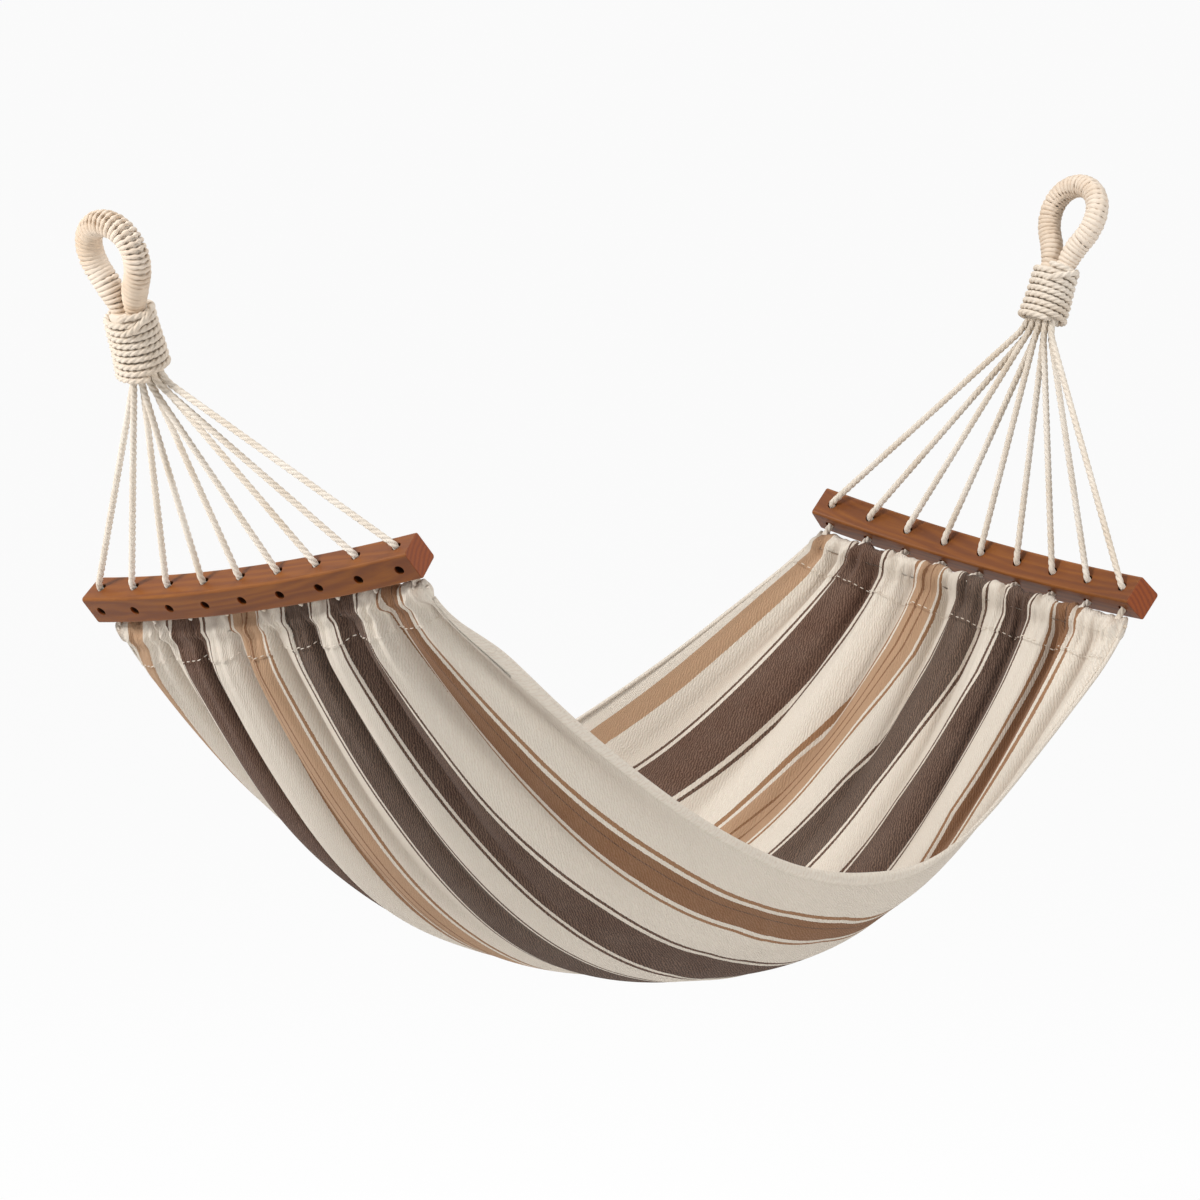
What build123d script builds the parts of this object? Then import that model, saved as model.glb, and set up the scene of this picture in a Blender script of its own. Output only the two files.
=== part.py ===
from build123d import *
import math
import os

# A spreader bar hammock, hung by its two rope eyes.
# Origin: the inside of the head eye's crown, where a hook bears. +X runs to the foot end,
# +Y to the far side, +Z up. Sizes are in millimetres and degrees.

# Driving sizes: bars
bar_span = 1713            # between the middles of the two bars
foot_drop = 80             # the foot bar hangs this much lower than the head bar
bar_length = 700
bar_side = 52
bar_edge_radius = 5
bar_end_radius = 1.5
bar_bow = 25               # the middle of a bar stands this far outside the line of its ends
bar_pitch = 39.5           # lean of the bar's clew face from level
head_roll = -9.5           # the head bar's near end hangs high
foot_roll = 8.5            # the foot bar's near end hangs low
hole_diameter = 16
hole_spacing = 80.5

# Driving sizes: ropes
cord_count = 9
rope_diameter = 11
elbow_radius = 7           # of the foot ropes' middle line, where two holes cross
header_diameter = 10
header_drop = 24           # from the bar's bed face to the middle of the header cord
header_overhang = 6        # of the header cord past the last stretch of hem
head_clew_reach = 380      # from the bar's middle to the lower end of its whipping
foot_clew_reach = 400
head_clew_tilt = 13.5      # inward lean of the fan of cords from the bar's clew normal
foot_clew_tilt = 32.5
foot_apex_shift = 12       # the foot whipping hangs this far towards the near side

# Driving sizes: whippings and hanging eyes
whipping_diameter = 10.5
whipping_gap = 0.7
head_turns = 9
foot_turns = 8
head_bundle_radius = 31
foot_bundle_radius = 28
dome_radius = 38           # rounded lower end of the bundle, which the cords point at
eye_crown_radius = 48      # of the eye's middle line
head_eye_height = 139      # from the top of the whipping to the middle line of the crown
foot_eye_height = 139
head_eye_radius = 21       # of the served rope that makes the eye
foot_eye_radius = 19
service_thickness = 5
eye_rise = 68              # slope of both whippings from level
eye_lean = 2.5             # of both whippings towards the near side

# Driving sizes: bed
bed_half_width = 335       # at the bars
near_swell = 20            # how far each edge moves out at mid length
far_swell = 120
cloth_thickness = 3
bed_sag = 606
sag_power = 2.2
edge_rise = 210            # of the edges above the lowest line, at mid length
rise_power = 2.7
rise_fade_power = 3.1
mid_roll = 4.5
roll_swing = 11
fold_depth = 26
fold_min = 2
fold_onset = 0.09          # the folds reach full depth this share of half the length from a bar
fold_reach = 0.62          # and are gone at this share
fold_fade_power = 1.6
section_places = [0.93, 0.84, 0.70, 0.50, 0.27]
side_hem_diameter = 24
hem_wall = 4
hem_web = 5                # sewn web of the hem below the loops

# Clearances
soft_gap = 0.3
seat_gap = 0.6             # between a rope and the side of the hole that it bears on
slit_gap = 0.6             # beside each loop, where it passes through a slit in the hem

# Steps used to measure slopes and gaps
place_step = 0.002
side_step = 0.03
points_per_turn = 90
near_turn = 8              # stretches closer along the cord than this many diameters are one bend

rope_radius = rope_diameter / 2
header_radius = header_diameter / 2
half_side = bar_side / 2
bow_radius = bar_length**2 / (8 * bar_bow) + bar_bow / 2
hole_radius = hole_diameter / 2
rope_seat = hole_radius - rope_radius - seat_gap
hole_offsets = [hole_spacing * (i - (cord_count - 1) / 2) for i in range(cord_count)]
hole_turns = [math.degrees(offset / bow_radius) for offset in hole_offsets]
bow_depth = bow_radius * (1 - math.cos(math.radians(hole_turns[0])))
header_outward = -bow_depth / 2
ring_radius = header_radius + soft_gap + rope_radius
hem_radius = header_radius + soft_gap + hem_wall
hem_reach = ring_radius + rope_radius + hem_web


class End:
    """One end of the hammock. Local x runs along the bar, y outward across it and z up its clew side."""

    def __init__(self, name, facing, roll, clew_reach, clew_tilt, apex_shift, turns, bundle_radius,
                 eye_height, eye_radius):
        self.name = name
        self.facing = facing
        self.turns = turns
        self.bundle_radius = bundle_radius
        self.eye_height = eye_height
        self.eye_radius = eye_radius
        self.core_radius = eye_radius - service_thickness - soft_gap
        lean = math.radians(bar_pitch)
        self.along = Vector(0, -facing, 0).rotate(Axis.X, roll)
        self.up = Vector(facing * math.sin(lean), 0, math.cos(lean)).rotate(Axis.X, roll)
        self.out = self.up.cross(self.along)
        rise = math.radians(eye_rise)
        lean_near = -math.sin(math.radians(eye_lean))
        self.eye_way = Vector(facing * math.cos(rise), lean_near, math.sin(rise)).normalized()
        tilt = math.radians(clew_tilt)
        fan_way = math.cos(tilt) * self.up - math.sin(tilt) * self.out
        self.fan = clew_reach * fan_way + apex_shift * self.along
        self.whipping_length = turns * (whipping_diameter + whipping_gap) + whipping_diameter

    def hang_from(self, seat):
        """Place the end below the point where the hook bears inside its eye."""
        crown = self.eye_height - self.eye_radius
        self.place(seat - (self.whipping_length + crown) * self.eye_way - self.fan)

    def place(self, middle):
        """Place the end by the middle of its bar."""
        self.middle = middle
        self.bar_plane = Plane(origin=middle, x_dir=self.along, z_dir=self.up)
        self.apex = middle + self.fan
        self.eye_foot = self.apex + self.whipping_length * self.eye_way
        self.seat = self.eye_foot + (self.eye_height - self.eye_radius) * self.eye_way
        self.eye_plane = Plane(origin=self.eye_foot, x_dir=self.level_side(), z_dir=self.eye_way)
        self.header = self.local(0, header_outward, -half_side - header_drop)

    def level_side(self):
        side = Vector(0, 1, 0)
        return (side - side.dot(self.eye_way) * self.eye_way).normalized()

    def local(self, along, out, up):
        return self.middle + along * self.along + out * self.out + up * self.up

    def hole_point(self, turn, out, up):
        """A point near one hole: out from the bar's bowed middle line, seated along it, and up."""
        angle = math.radians(turn)
        reach = bow_radius + out
        along = reach * math.sin(angle) + rope_seat * math.cos(angle)
        outward = reach * math.cos(angle) - bow_radius - rope_seat * math.sin(angle)
        return self.local(along, outward, up)


head = End("head", -1, head_roll, head_clew_reach, head_clew_tilt, 0, head_turns, head_bundle_radius,
           head_eye_height, head_eye_radius)
foot = End("foot", 1, foot_roll, foot_clew_reach, foot_clew_tilt, foot_apex_shift, foot_turns,
           foot_bundle_radius, foot_eye_height, foot_eye_radius)
head.hang_from(Vector(0, 0, 0))
foot.place(head.middle + Vector(bar_span, 0, -foot_drop))


def round_tube(path, radius):
    """A round solid carried along one unbroken wire."""
    start = Plane(origin=path @ 0, z_dir=path % 0)
    return sweep(start * Circle(radius), path=path)


def straight_tube(start, finish, radius):
    return Solid.make_cylinder(radius, (finish - start).length, Plane(origin=start, z_dir=finish - start))


def spreader_bar(end):
    """A bowed square bar with two rows of holes that cross inside it."""
    centre = (0, -bow_radius, 0)
    half_turn = math.degrees(bar_length / 2 / bow_radius)
    profile = Plane.YZ * RectangleRounded(bar_side, bar_side, bar_edge_radius)
    profile = profile.rotate(Axis(centre, (0, 0, 1)), -half_turn)
    bar = revolve(profile, Axis(centre, (0, 0, 1)), 2 * half_turn)
    ends = [bar.faces().sort_by(Axis.X)[0], bar.faces().sort_by(Axis.X)[-1]]
    bar = fillet([edge for face in ends for edge in face.edges()], bar_end_radius)
    for turn in hole_turns:
        angle = math.radians(turn)
        centre_line = (bow_radius * math.sin(angle), bow_radius * math.cos(angle) - bow_radius, 0)
        through = Pos(*centre_line) * Cylinder(hole_radius, 2 * bar_side)
        across = Pos(*centre_line) * Rot(0, 0, -turn) * Rot(90, 0, 0) * Cylinder(hole_radius, 2 * bar_side)
        bar = bar - through - across
    return end.bar_plane * bar


def bed_loop(end, turn):
    """Rope through one hole of the bar and in a ring about the header cord."""
    mouth_depth = half_side - soft_gap
    bed_mouth = end.hole_point(turn, 0, -half_side)
    header_point = end.header + (bed_mouth - end.header).dot(end.along) * end.along
    ring_top = header_point + ring_radius * (bed_mouth - header_point).normalized()
    if end is head:
        route = [end.hole_point(turn, 0, mouth_depth), bed_mouth, ring_top]
        bends = [rope_diameter]
    else:
        route = [end.hole_point(turn, -mouth_depth, 0), end.hole_point(turn, 0, 0), bed_mouth, ring_top]
        bends = [elbow_radius, rope_diameter]
    rope = round_tube(FilletPolyline(*route, radius=bends), rope_radius)
    ring = Plane(origin=header_point, z_dir=end.along) * Torus(ring_radius, rope_radius)
    return rope + ring


def clew_mouth(end, turn):
    """Where the middle of a clew cord leaves the bar, one rope radius clear of the face."""
    stand_off = half_side + rope_radius
    if end is head:
        return end.hole_point(turn, 0, stand_off)
    return end.hole_point(turn, -stand_off, 0)


def dome_centre(end):
    drop = math.sqrt(dome_radius**2 - end.bundle_radius**2)
    return end.apex + drop * end.eye_way


def clew_cord(end, index):
    """A straight cord from its mouth to the domed bundle. Cords lie by turns in two layers."""
    low = clew_mouth(end, hole_turns[index])
    layer = (rope_radius + soft_gap) * (1 if index % 2 == 0 else -1)
    centre = dome_centre(end)
    aim = centre + layer * end.along.cross(end.eye_way).normalized()
    way = (low - aim).normalized()
    high = aim + (dome_radius + soft_gap - (aim - centre).dot(way)) * way
    return straight_tube(low, high, rope_radius) + Pos(low) * Sphere(rope_radius)


def rope_bundle(end):
    """The gathered cords inside the whipping, with a domed lower end."""
    length = end.whipping_length - soft_gap
    core = Pos(0, 0, length / 2) * Cylinder(end.bundle_radius, 3 * length)
    above_dome = (dome_centre(end) - end.apex).length
    dome = core & Pos(0, 0, above_dome) * Sphere(dome_radius)
    shank = Pos(0, 0, (length + above_dome) / 2) * Cylinder(end.bundle_radius, length - above_dome)
    return Plane(origin=end.apex, z_dir=end.eye_way) * (dome + shank)


def biarc(start, start_way, finish, finish_way):
    """Two arcs that leave start along start_way and reach finish along finish_way."""
    gap = finish - start
    a = 2 * (start_way.dot(finish_way) - 1)
    b = -2 * gap.dot(start_way + finish_way)
    c = gap.dot(gap)
    reach = (-b - math.sqrt(b * b - 4 * a * c)) / (2 * a)
    first = start + reach * start_way
    second = finish - reach * finish_way
    middle = (first + second) * 0.5
    return [Edge.make_tangent_arc(start, start_way, middle),
            Edge.make_tangent_arc(middle, second - first, finish)]


def whipping_route(end):
    """The middle line of the winding, as half turns with a straight run at each end."""
    coil_radius = end.bundle_radius + soft_gap + whipping_diameter / 2
    rise = whipping_diameter + whipping_gap
    slope = rise / (2 * math.pi)
    points, ways = [], []
    for half in range(2 * end.turns + 1):
        angle = math.pi * half
        points.append(Vector(coil_radius * math.cos(angle), coil_radius * math.sin(angle),
                             whipping_diameter / 2 + slope * angle))
        turned = Vector(-coil_radius * math.sin(angle), coil_radius * math.cos(angle), slope)
        ways.append(turned.normalized())
    run = whipping_diameter
    edges = [Edge.make_line(points[0] - run * ways[0], points[0])]
    for half in range(2 * end.turns):
        edges += biarc(points[half], ways[half], points[half + 1], ways[half + 1])
    edges.append(Edge.make_line(points[-1], points[-1] + run * ways[-1]))
    return Wire(edges)


def least_self_gap(route, wire_diameter):
    """Smallest clear distance between stretches of the winding that lie at least half a turn apart."""
    count = points_per_turn * (head_turns + 2)
    points = [route @ (i / count) for i in range(count + 1)]
    step = route.length / count
    skip = math.ceil(near_turn * wire_diameter / step)
    closest = min((points[i] - points[j]).length for i in range(count) for j in range(i + skip, count + 1))
    return closest - wire_diameter


def whipping(end):
    """One unbroken cord wound round the bundle."""
    route = whipping_route(end)
    gap = round(least_self_gap(route, whipping_diameter), 2)
    print(end.name, "whipping: least gap to itself", gap, "mm")
    return Plane(origin=end.apex, z_dir=end.eye_way) * round_tube(route, whipping_diameter / 2)


def eye_route(end):
    """Teardrop middle line: each leg is two equal arcs, and the crown is a half circle in two arcs."""
    foot_x = end.eye_radius + soft_gap
    shoulder = end.eye_height - eye_crown_radius
    bend = ((foot_x + eye_crown_radius) / 2, 0, shoulder / 2)
    right = [(foot_x, 0, soft_gap), bend, (eye_crown_radius, 0, shoulder)]
    top = (0, 0, end.eye_height)
    left = [(-x, y, z) for x, y, z in right]
    upward = (0, 0, 1)
    lower_arc = Edge.make_tangent_arc(right[0], upward, right[1])
    upper_arc = Edge.make_tangent_arc(right[1], lower_arc % 1, right[2])
    crown_arc = Edge.make_tangent_arc(right[2], upward, top)
    crown_back = Edge.make_tangent_arc(top, (-1, 0, 0), left[2])
    back_upper = Edge.make_tangent_arc(left[2], (0, 0, -1), left[1])
    back_lower = Edge.make_tangent_arc(left[1], back_upper % 1, left[0])
    return Wire([lower_arc, upper_arc, crown_arc, crown_back, back_upper, back_lower])


def eye_core(end):
    """The rope bundle bent into the hanging eye."""
    return end.eye_plane * round_tube(eye_route(end), end.core_radius)


def eye_service(end):
    """The thin cord served over the eye, as one sleeve of its outer size."""
    route = eye_route(end)
    sleeve = round_tube(route, end.eye_radius) - round_tube(route, end.core_radius + soft_gap)
    return end.eye_plane * sleeve


def header_cord(end):
    half = bed_half_width + header_overhang
    return straight_tube(end.header - half * end.along, end.header + half * end.along, header_radius)


# Bed surface: place is -1 at the head bar, 0 at mid length and 1 at the foot bar

def bed_line(place):
    """The lowest line of the bed."""
    start, finish = head.header, foot.header
    drop = bed_sag * (1 - abs(place)**sag_power)
    return start + (finish - start) * ((place + 1) / 2) - Vector(0, 0, drop)


def bed_frame(place):
    """Directions at one place on the lowest line: across to the far side, and up off the cloth."""
    low, high = max(-1, place - place_step), min(1, place + place_step)
    way = (bed_line(high) - bed_line(low)).normalized()
    share = (place + 1) / 2
    hump = 1 - place**2
    roll = head_roll * (1 - share) + foot_roll * share + (mid_roll + roll_swing * place) * hump
    across = Vector(0, 1, 0).rotate(Axis.X, roll)
    return across, way.cross(across).normalized()


def bed_point(place, side, lift=0):
    """A point of the cloth's inner face: side is -1 at the near edge and 1 at the far edge."""
    across, up = bed_frame(place)
    swell = (near_swell if side < 0 else far_swell) * (1 - place**2)
    rise = edge_rise * (1 - abs(place)**rise_fade_power) * abs(side)**rise_power
    return bed_line(place) + side * (bed_half_width + swell) * across + (rise + lift) * up


def fold_at(place):
    """Depth of the gathered folds: small at the hem, most just below it, gone by mid length."""
    away = 1 - abs(place)
    growth = math.sin(math.pi * min(1, away / fold_onset) / 2)
    return fold_min + fold_depth * growth * max(0, 1 - away / fold_reach)**fold_fade_power


def hem_start(end):
    """Place on the bed line where the cloth leaves the end's hem."""
    rate = (bed_line(end.facing) - bed_line(end.facing * (1 - place_step))).length / place_step
    return end.facing * (1 - hem_reach / rate)


def hem_limit(end):
    """The plane where the hem's web stops, just short of the cloth's first section."""
    place = hem_start(end)
    across, up = bed_frame(place)
    back = end.facing * across.cross(up)
    return Plane(origin=bed_line(place) + soft_gap * back, x_dir=across, z_dir=back)


def end_hem(end):
    """The hem tunnel about the header cord, with its sewn web, slit where each loop goes in."""
    half_slit = rope_radius + slit_gap
    stops = []
    for turn in hole_turns:
        middle = (end.hole_point(turn, 0, -half_side) - end.header).dot(end.along)
        stops += [middle - half_slit, middle + half_slit]
    stops = [-bed_half_width] + stops + [bed_half_width]
    limit = hem_limit(end)
    down = end.along.cross(limit.z_dir).cross(end.along).normalized() * -1
    thick = down.cross(end.along)
    stretches = []
    for low, high in zip(stops[0::2], stops[1::2]):
        start, finish = end.header + low * end.along, end.header + high * end.along
        tunnel = straight_tube(start, finish, hem_radius)
        middle = (start + finish) * 0.5 + hem_reach * down
        sheet = Plane(origin=middle, x_dir=end.along, z_dir=thick)
        web = sheet * Box(high - low, 2 * hem_reach, 2 * cloth_thickness)
        web = split(web, bisect_by=limit, keep=Keep.TOP)
        bore = straight_tube(start - end.along, finish + end.along, header_radius + soft_gap)
        stretches.append(tunnel + web - bore)
    return Compound(children=stretches)


bed_places = [hem_start(head)] + [-place for place in section_places] + [0]
bed_places += section_places[::-1] + [hem_start(foot)]


def bay_sides():
    """Where the folds meet: at each edge and under each loop."""
    return [-1] + [offset / bed_half_width for offset in hole_offsets] + [1]


def fold_edges(place, sides, lift):
    """One arc to a fold, along one face of the cloth."""
    edges = []
    for start, finish in zip(sides[:-1], sides[1:]):
        narrow = min(1, abs(finish - start) * bed_half_width / hole_spacing)
        middle = bed_point(place, (start + finish) / 2, lift - narrow * fold_at(place))
        edges.append(ThreePointArc(bed_point(place, start, lift), middle, bed_point(place, finish, lift)))
    return edges


def roll_edges(place, side):
    """The rolled hem at one edge, as three arcs from the inner face round to the outer face."""
    inner = bed_point(place, side)
    outer = bed_point(place, side, -cloth_thickness)
    radius = side_hem_diameter / 2
    base = (inner + outer) * 0.5
    thick = (inner - outer).normalized()
    slope = (bed_point(place, side) - bed_point(place, (1 - side_step) * side)).normalized()
    away = (slope - slope.dot(thick) * thick).normalized()
    mouth = math.asin(cloth_thickness / 2 / radius)
    centre = base + radius * math.cos(mouth) * away
    turns = [mouth + (math.pi - mouth) * step / 3 for step in range(7)]
    points = [centre + radius * (math.sin(turn) * thick - math.cos(turn) * away) for turn in turns]
    return [ThreePointArc(*points[step:step + 3]) for step in (0, 2, 4)]


def bed_section(place):
    """Closed outline across the cloth: its folds on both faces and a rolled hem at each edge."""
    sides = bay_sides()
    edges = fold_edges(place, sides, 0) + roll_edges(place, 1)
    edges += fold_edges(place, sides[::-1], -cloth_thickness)
    edges += [edge.reversed() for edge in roll_edges(place, -1)[::-1]]
    return Face(Wire(edges))


def bed_cloth():
    return loft([bed_section(place) for place in bed_places])


parts = {}
for end in (head, foot):
    parts[f"{end.name}_spreader_bar"] = spreader_bar(end)
    for index in range(cord_count):
        near_first = index if end is head else cord_count - 1 - index
        parts[f"{end.name}_clew_cord_{near_first + 1}"] = clew_cord(end, index)
        parts[f"{end.name}_bed_loop_{near_first + 1}"] = bed_loop(end, hole_turns[index])
    parts[f"{end.name}_rope_bundle"] = rope_bundle(end)
    parts[f"{end.name}_whipping"] = whipping(end)
    parts[f"{end.name}_eye_core"] = eye_core(end)
    parts[f"{end.name}_eye_service"] = eye_service(end)
    parts[f"{end.name}_header_cord"] = header_cord(end)
    parts[f"{end.name}_end_hem"] = end_hem(end)
parts["bed_cloth"] = bed_cloth()

os.makedirs("parts", exist_ok=True)
for name, part in parts.items():
    part.label = name
    export_step(part, f"parts/{name}.step")

for end in (head, foot):
    hinge = (clew_mouth(end, hole_turns[0]) + clew_mouth(end, hole_turns[-1])) * 0.5
    print(end.name, "along", end.along, "rock axis", end.header, "fold axis", hinge, "seat", end.seat)
print(len(parts), "nodes")
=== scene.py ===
import math
import bpy
import numpy as np
from mathutils import Matrix, Vector


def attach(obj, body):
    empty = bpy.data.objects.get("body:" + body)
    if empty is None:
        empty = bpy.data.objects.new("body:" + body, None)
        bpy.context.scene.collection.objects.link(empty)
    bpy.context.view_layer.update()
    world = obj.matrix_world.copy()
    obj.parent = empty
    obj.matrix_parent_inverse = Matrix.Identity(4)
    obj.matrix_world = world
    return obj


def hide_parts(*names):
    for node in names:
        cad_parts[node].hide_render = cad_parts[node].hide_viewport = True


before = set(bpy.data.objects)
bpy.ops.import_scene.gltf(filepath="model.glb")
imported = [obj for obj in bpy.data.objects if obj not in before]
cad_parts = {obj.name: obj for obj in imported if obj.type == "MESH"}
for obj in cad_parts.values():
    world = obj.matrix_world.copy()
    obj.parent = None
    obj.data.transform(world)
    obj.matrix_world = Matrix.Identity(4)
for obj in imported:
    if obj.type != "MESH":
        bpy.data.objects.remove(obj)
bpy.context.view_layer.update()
mm = 0.001          # lengths below are in millimetres until they go into a mesh

cameraPlan = {
    "turn": 46.98,              # degrees from +Y towards +X
    "tip": 5.8,                 # degrees below level
    "distance": 17.27,          # metres from the target
    "target": (1.1086, -0.046, -0.5837),
    "slide": (-0.0504, -0.0457),
    "lens": 327.84,
}


def addCamera(plan):
    turn, tip = math.radians(plan["turn"]), math.radians(plan["tip"])
    ahead = Vector((math.sin(turn) * math.cos(tip), math.cos(turn) * math.cos(tip), -math.sin(tip)))
    right = Vector((math.cos(turn), -math.sin(turn), 0))
    up = right.cross(ahead)
    place = Vector(plan["target"]) - plan["distance"] * ahead
    place += plan["slide"][0] * right + plan["slide"][1] * up
    data = bpy.data.cameras.new("camera")
    data.lens = plan["lens"]
    data.clip_end = 300
    camera = bpy.data.objects.new("camera", data)
    bpy.context.collection.objects.link(camera)
    camera.matrix_world = Matrix.Translation(place) @ Matrix((right, up, -ahead)).transposed().to_4x4()
    bpy.context.scene.camera = camera


addCamera(cameraPlan)
print("camera placed")


def unit(vectors):
    return vectors / np.linalg.norm(vectors, axis=-1, keepdims=True)


def smooth(low, high, value):
    # 0 below low, 1 above high, and 3t^2 - 2t^3 between
    t = np.clip((value - low) / (high - low), 0, 1)
    return t * t * (3 - 2 * t)


def arcLength(path):
    steps = np.linalg.norm(np.diff(path, axis=0), axis=1)
    return np.concatenate([[0], np.cumsum(steps)])


def resample(path, stations):
    # points of the path at the given distances along it
    run = arcLength(path)
    return np.column_stack([np.interp(stations, run, path[:, k]) for k in range(3)])


def stationsFor(length, step, endRadius):
    # even stations, with a few close ones over each rounded end
    bend = endRadius * (1 - np.cos(np.linspace(0.12, 0.5, 4) * math.pi))
    inner = np.linspace(endRadius, length - endRadius, max(3, int((length - 2 * endRadius) / step)))
    return np.concatenate([bend[:-1], inner, length - bend[:-1][::-1]])


def smoothRoute(controls):
    # the line of a NURBS spline through Blender's own curve, with the controls as its points
    curve = bpy.data.curves.new("route", "CURVE")
    curve.dimensions = "3D"
    curve.resolution_u = 32
    spline = curve.splines.new("NURBS")
    spline.points.add(len(controls) - 1)
    weighted = np.column_stack([np.asarray(controls) * mm, np.ones(len(controls))])
    spline.points.foreach_set("co", weighted.ravel())
    spline.order_u = 3
    spline.use_endpoint_u = True
    holder = bpy.data.objects.new("route", curve)
    mesh = bpy.data.meshes.new_from_object(holder)
    line = np.zeros(len(mesh.vertices) * 3)
    mesh.vertices.foreach_get("co", line)
    bpy.data.objects.remove(holder)
    bpy.data.meshes.remove(mesh)
    bpy.data.curves.remove(curve)
    return line.reshape(-1, 3) / mm


def ringPoints(path, side, other, turn, reach):
    # each point is the path plus reach times (cos(turn) side + sin(turn) other)
    spoke = np.cos(turn)[..., None] * side[:, None] + np.sin(turn)[..., None] * other[:, None]
    return path[:, None] + reach[..., None] * spoke


def ringUv(run, columns, repeat=1):
    # u goes round a tube, repeat times, and v is the distance along it in metres
    u = np.broadcast_to(np.arange(columns + 1) / columns * repeat, (len(run), columns + 1))
    return np.stack([u, np.broadcast_to((run * mm)[:, None], u.shape)], -1)


def gridMesh(name, points, uv, closed=False, capped=False):
    # points is a grid of rows by columns. Neighbours make four-sided faces, a closed grid joins
    # its last column to its first, and a capped one gets a middle point at each end row.
    rows, columns = points.shape[:2]
    vertices = points.reshape(-1, 3)
    row = np.arange(rows - 1)[:, None]
    column = np.arange(columns if closed else columns - 1)[None, :]
    following = (column + 1) % columns
    quads = np.stack(np.broadcast_arrays(row * columns + column, row * columns + following,
                                         (row + 1) * columns + following, (row + 1) * columns + column), -1)
    quads = quads.reshape(-1, 4)
    nextColumn = column + 1 if closed else following
    uvQuads = np.stack([uv[row, column], uv[row, nextColumn],
                        uv[row + 1, nextColumn], uv[row + 1, column]], 2)
    uvQuads = uvQuads.reshape(-1, 4, 2)
    tris, uvTris = np.zeros((0, 3), int), np.zeros((0, 3, 2))
    if capped:
        count = len(vertices)
        vertices = np.vstack([vertices, points[0].mean(0), points[-1].mean(0)])
        edge = np.arange(columns)
        after = (edge + 1) % columns
        last = (rows - 1) * columns
        first = np.column_stack([np.full(columns, count), after, edge])
        final = np.column_stack([np.full(columns, count + 1), last + edge, last + after])
        tris = np.vstack([first, final])
        ring = np.column_stack([edge, after]) if not closed else np.column_stack([edge, edge + 1])
        uvFirst = np.stack([uv[0, ring[:, 0]], uv[0, ring[:, 1]], uv[0, ring[:, 0]]], 1)
        uvFinal = np.stack([uv[-1, ring[:, 0]], uv[-1, ring[:, 0]], uv[-1, ring[:, 1]]], 1)
        uvTris = np.vstack([uvFirst, uvFinal])
    a, b, c = (vertices[quads[:, k]] for k in range(3))
    d = vertices[quads[:, 3]]
    middle = vertices.mean(0)
    volume = np.einsum("ij,ij->i", a - middle, np.cross(b - middle, c - middle)).sum()
    volume += np.einsum("ij,ij->i", a - middle, np.cross(c - middle, d - middle)).sum()
    if volume < 0:
        quads, uvQuads = quads[:, ::-1], uvQuads[:, ::-1]
        tris, uvTris = tris[:, ::-1], uvTris[:, ::-1]
    mesh = bpy.data.meshes.new(name)
    mesh.vertices.add(len(vertices))
    mesh.vertices.foreach_set("co", (vertices * mm).astype(np.float32).ravel())
    loops = np.concatenate([quads.ravel(), tris.ravel()])
    totals = np.concatenate([np.full(len(quads), 4), np.full(len(tris), 3)])
    mesh.loops.add(len(loops))
    mesh.loops.foreach_set("vertex_index", loops.astype(np.int32))
    mesh.polygons.add(len(totals))
    starts = np.concatenate([[0], np.cumsum(totals)[:-1]])
    mesh.polygons.foreach_set("loop_start", starts.astype(np.int32))
    mesh.polygons.foreach_set("loop_total", totals.astype(np.int32))
    mesh.polygons.foreach_set("use_smooth", np.ones(len(totals), bool))
    mesh.update(calc_edges=True)
    layer = mesh.uv_layers.new(name="flat")
    flat = np.concatenate([uvQuads.reshape(-1, 2), uvTris.reshape(-1, 2)])
    layer.data.foreach_set("uv", flat.astype(np.float32).ravel())
    mesh.validate()
    return mesh


def setCrease(mesh, values, spare):
    # a number for each vertex, with plain zeros for the middle points of the end caps
    layer = mesh.attributes.new("crease", "FLOAT", "POINT")
    layer.data.foreach_set("value", np.concatenate([values.ravel(), np.zeros(spare)]).astype(np.float32))


def addPiece(mesh, name, body, material, nodes=()):
    piece = bpy.data.objects.new(name, mesh)
    bpy.context.collection.objects.link(piece)
    mesh.materials.append(material)
    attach(piece, body)
    if nodes:
        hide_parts(*nodes)
    return piece


def joinGrids(name, grids):
    # one mesh from several
    parts = [bpy.data.objects.new("part", grid) for grid in grids]
    for part in parts:
        bpy.context.collection.objects.link(part)
    bpy.ops.object.select_all(action="DESELECT")
    for part in parts:
        part.select_set(True)
    bpy.context.view_layer.objects.active = parts[0]
    bpy.ops.object.join()
    mesh = parts[0].data
    mesh.name = name
    bpy.data.objects.remove(parts[0])
    return mesh


def frameAlong(path, reference):
    # tangent of the path, its side square to the reference, and the third direction
    ahead = unit(np.gradient(path, axis=0))
    side = unit(np.cross(ahead, reference))
    return ahead, side, np.cross(side, ahead)


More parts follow.
